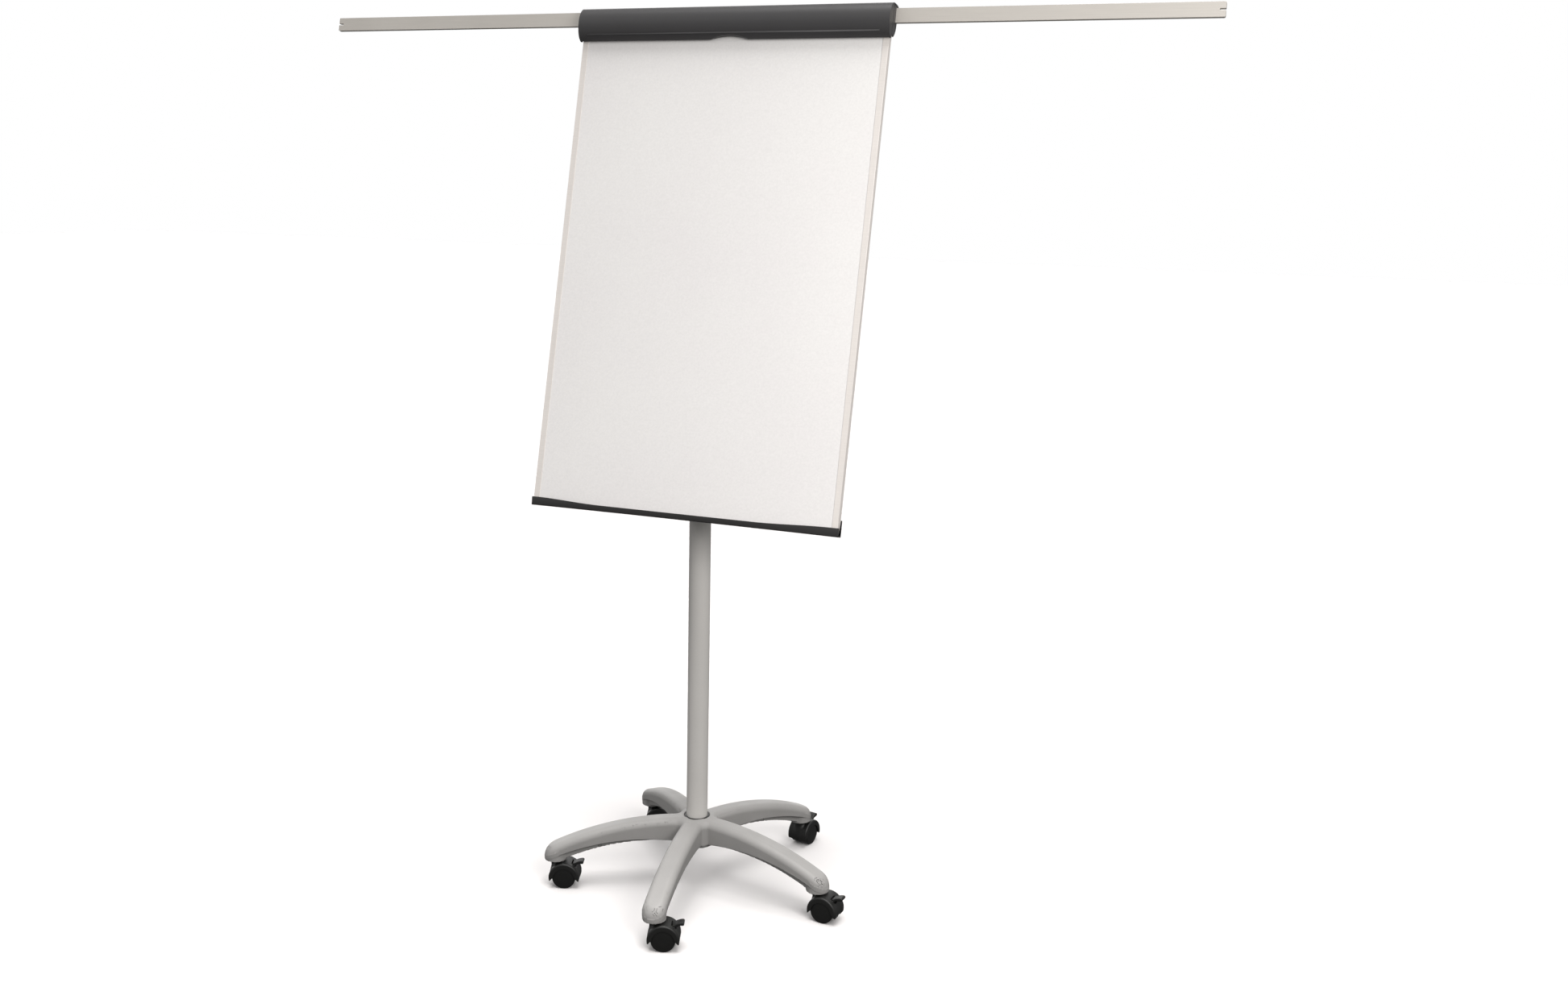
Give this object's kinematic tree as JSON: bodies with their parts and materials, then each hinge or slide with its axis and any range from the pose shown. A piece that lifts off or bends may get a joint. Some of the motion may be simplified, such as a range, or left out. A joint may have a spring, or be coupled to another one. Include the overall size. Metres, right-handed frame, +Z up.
{
  "type": "flip chart easel",
  "caption": "Mobile flip chart easel: leaning dry-wipe board with pad clamp, pen tray and pull-out side arms on a telescopic mast, with a braked castor star base.",
  "frame": {"origin": "on the floor, on the axis of the mast", "axes": "+X to the right along the board's width seen from the front, +Z up, writing side faces -Y"},
  "size_m": [2.008, 0.6841, 1.9245],
  "materials": {
    "base_grey": "fine-textured moulded nylon",
    "mast_grey": "satin powder coat",
    "charcoal_plastic": "fine-grained moulded plastic",
    "black_plastic": "satin moulded nylon",
    "wheel_black": "smooth moulded polyurethane",
    "aluminium": "clear anodised extrusion",
    "zinc_steel": "zinc plated",
    "enamel_white": "glossy dry-wipe enamel",
    "fibreboard": "raw fibreboard",
    "backing_grey": "matt lacquered backing sheet",
    "grip_rubber": "matt ribbed rubber"
  },
  "bodies": {
    "base": {"star_base": "base_grey", "castor_sockets": "zinc_steel", "castor_stems": "zinc_steel", "base_collar": "black_plastic", "outer_tube": "mast_grey", "mast_foot": "zinc_steel", "mast_bolt": "zinc_steel", "guide_bush": "black_plastic", "clamp_collar": "black_plastic"},
    "knob": {"knob": "black_plastic", "knob_stud": "zinc_steel"},
    "board": {"inner_tube": "mast_grey", "tube_glide": "black_plastic", "tube_cap": "black_plastic", "head_bracket": "mast_grey", "bracket_bolts": "zinc_steel", "spine_channel": "mast_grey", "board_core": "fibreboard", "writing_sheet": "enamel_white", "back_sheet": "backing_grey", "side_profiles": "aluminium", "board_screws": "zinc_steel", "pen_tray": "charcoal_plastic", "head_rail": "aluminium", "end_caps": "charcoal_plastic", "hinge_pins": "zinc_steel", "clamp_springs": "zinc_steel"},
    "cover": {"clamp_cover": "charcoal_plastic", "grip_strip": "grip_rubber"},
    "peg_left": {"pad_peg_left": "black_plastic"},
    "peg_right": {"pad_peg_right": "black_plastic"},
    "left_arm": {"arm_left": "aluminium", "arm_shoe_left": "black_plastic"},
    "right_arm": {"arm_right": "aluminium", "arm_shoe_right": "black_plastic"},
    "castor_left": {"castor_left_hood": "black_plastic", "castor_left_pins": "zinc_steel"},
    "castor_left_wheel_left": {"castor_left_wheel_left": "wheel_black"},
    "castor_left_wheel_right": {"castor_left_wheel_right": "wheel_black"},
    "castor_left_lever": {"castor_left_brake_lever": "black_plastic"},
    "castor_front": {"castor_front_hood": "black_plastic", "castor_front_pins": "zinc_steel"},
    "castor_front_wheel_left": {"castor_front_wheel_left": "wheel_black"},
    "castor_front_wheel_right": {"castor_front_wheel_right": "wheel_black"},
    "castor_front_lever": {"castor_front_brake_lever": "black_plastic"},
    "castor_right": {"castor_right_hood": "black_plastic", "castor_right_pins": "zinc_steel"},
    "castor_right_wheel_left": {"castor_right_wheel_left": "wheel_black"},
    "castor_right_wheel_right": {"castor_right_wheel_right": "wheel_black"},
    "castor_right_lever": {"castor_right_brake_lever": "black_plastic"},
    "castor_back_right": {"castor_back_right_hood": "black_plastic", "castor_back_right_pins": "zinc_steel"},
    "castor_back_right_wheel_left": {"castor_back_right_wheel_left": "wheel_black"},
    "castor_back_right_wheel_right": {"castor_back_right_wheel_right": "wheel_black"},
    "castor_back_right_lever": {"castor_back_right_brake_lever": "black_plastic"},
    "castor_back_left": {"castor_back_left_hood": "black_plastic", "castor_back_left_pins": "zinc_steel"},
    "castor_back_left_wheel_left": {"castor_back_left_wheel_left": "wheel_black"},
    "castor_back_left_wheel_right": {"castor_back_left_wheel_right": "wheel_black"},
    "castor_back_left_lever": {"castor_back_left_brake_lever": "black_plastic"}
  },
  "joints": [
    {"name": "mast_slide", "type": "slide", "parent": "base", "child": "board", "axis": [0, 0, 1], "range_m": [-0.09, 0.12]},
    {"name": "knob_turn", "type": "hinge", "parent": "base", "child": "knob", "pos_m": [0, 0.045, 0.872], "axis": [0, 1, 0], "range_deg": [0, 360]},
    {"name": "cover_hinge", "type": "hinge", "parent": "board", "child": "cover", "pos_m": [0, 0.17106, 1.90527], "axis": [-1, 0, 0], "range_deg": [0, 50], "stiffness_Nm_per_rad": 1, "springref_deg": -34.38},
    {"name": "peg_left_slide", "type": "slide", "parent": "board", "child": "peg_left", "axis": [1, 0, 0], "range_m": [-0.13, 0.03]},
    {"name": "peg_right_slide", "type": "slide", "parent": "board", "child": "peg_right", "axis": [1, 0, 0], "range_m": [-0.03, 0.13]},
    {"name": "arm_left_slide", "type": "slide", "parent": "board", "child": "left_arm", "axis": [1, 0, 0], "range_m": [0, 0.63]},
    {"name": "arm_right_slide", "type": "slide", "parent": "board", "child": "right_arm", "axis": [-1, 0, 0], "range_m": [0, 0.63]},
    {"name": "castor_left_swivel", "type": "hinge", "parent": "base", "child": "castor_left", "pos_m": [-0.28239, -0.13957, 0.064], "axis": [0, 0, 1], "continuous": true},
    {"name": "castor_left_roll_left", "type": "hinge", "parent": "castor_left", "child": "castor_left_wheel_left", "pos_m": [-0.2636, -0.13273, 0.026], "axis": [-0.342, 0.9397, 0], "continuous": true},
    {"name": "castor_left_roll_right", "type": "hinge", "parent": "castor_left", "child": "castor_left_wheel_right", "pos_m": [-0.2636, -0.13273, 0.026], "axis": [-0.342, 0.9397, 0], "continuous": true},
    {"name": "castor_left_brake", "type": "hinge", "parent": "castor_left", "child": "castor_left_lever", "pos_m": [-0.24367, -0.12547, 0.05128], "axis": [-0.342, 0.9397, 0], "range_deg": [0, 18]},
    {"name": "castor_front_swivel", "type": "hinge", "parent": "base", "child": "castor_front", "pos_m": [0.04547, -0.3117, 0.064], "axis": [0, 0, 1], "continuous": true},
    {"name": "castor_front_roll_left", "type": "hinge", "parent": "castor_front", "child": "castor_front_wheel_left", "pos_m": [0.06427, -0.30486, 0.026], "axis": [-0.342, 0.9397, 0], "continuous": true},
    {"name": "castor_front_roll_right", "type": "hinge", "parent": "castor_front", "child": "castor_front_wheel_right", "pos_m": [0.06427, -0.30486, 0.026], "axis": [-0.342, 0.9397, 0], "continuous": true},
    {"name": "castor_front_brake", "type": "hinge", "parent": "castor_front", "child": "castor_front_lever", "pos_m": [0.0842, -0.29761, 0.05128], "axis": [-0.342, 0.9397, 0], "range_deg": [0, 18]},
    {"name": "castor_right_swivel", "type": "hinge", "parent": "base", "child": "castor_right", "pos_m": [0.3105, -0.05307, 0.064], "axis": [0, 0, 1], "continuous": true},
    {"name": "castor_right_roll_left", "type": "hinge", "parent": "castor_right", "child": "castor_right_wheel_left", "pos_m": [0.33042, -0.05482, 0.026], "axis": [0.0872, 0.9962, 0], "continuous": true},
    {"name": "castor_right_roll_right", "type": "hinge", "parent": "castor_right", "child": "castor_right_wheel_right", "pos_m": [0.33042, -0.05482, 0.026], "axis": [0.0872, 0.9962, 0], "continuous": true},
    {"name": "castor_right_brake", "type": "hinge", "parent": "castor_right", "child": "castor_right_lever", "pos_m": [0.35155, -0.05667, 0.05128], "axis": [0.0872, 0.9962, 0], "range_deg": [0, 18]},
    {"name": "castor_back_right_swivel", "type": "hinge", "parent": "base", "child": "castor_back_right", "pos_m": [0.14642, 0.2789, 0.064], "axis": [0, 0, 1], "continuous": true},
    {"name": "castor_back_right_roll_left", "type": "hinge", "parent": "castor_back_right", "child": "castor_back_right_wheel_left", "pos_m": [0.15058, 0.29846, 0.026], "axis": [-0.9781, 0.2079, 0], "continuous": true},
    {"name": "castor_back_right_roll_right", "type": "hinge", "parent": "castor_back_right", "child": "castor_back_right_wheel_right", "pos_m": [0.15058, 0.29846, 0.026], "axis": [-0.9781, 0.2079, 0], "continuous": true},
    {"name": "castor_back_right_brake", "type": "hinge", "parent": "castor_back_right", "child": "castor_back_right_lever", "pos_m": [0.15499, 0.31921, 0.05128], "axis": [-0.9781, 0.2079, 0], "range_deg": [0, 18]},
    {"name": "castor_back_left_swivel", "type": "hinge", "parent": "base", "child": "castor_back_left", "pos_m": [-0.22, 0.22544, 0.064], "axis": [0, 0, 1], "continuous": true},
    {"name": "castor_back_left_roll_left", "type": "hinge", "parent": "castor_back_left", "child": "castor_back_left_wheel_left", "pos_m": [-0.20068, 0.23062, 0.026], "axis": [-0.2588, 0.9659, 0], "continuous": true},
    {"name": "castor_back_left_roll_right", "type": "hinge", "parent": "castor_back_left", "child": "castor_back_left_wheel_right", "pos_m": [-0.20068, 0.23062, 0.026], "axis": [-0.2588, 0.9659, 0], "continuous": true},
    {"name": "castor_back_left_brake", "type": "hinge", "parent": "castor_back_left", "child": "castor_back_left_lever", "pos_m": [-0.18019, 0.23611, 0.05128], "axis": [-0.2588, 0.9659, 0], "range_deg": [0, 18]}
  ]
}
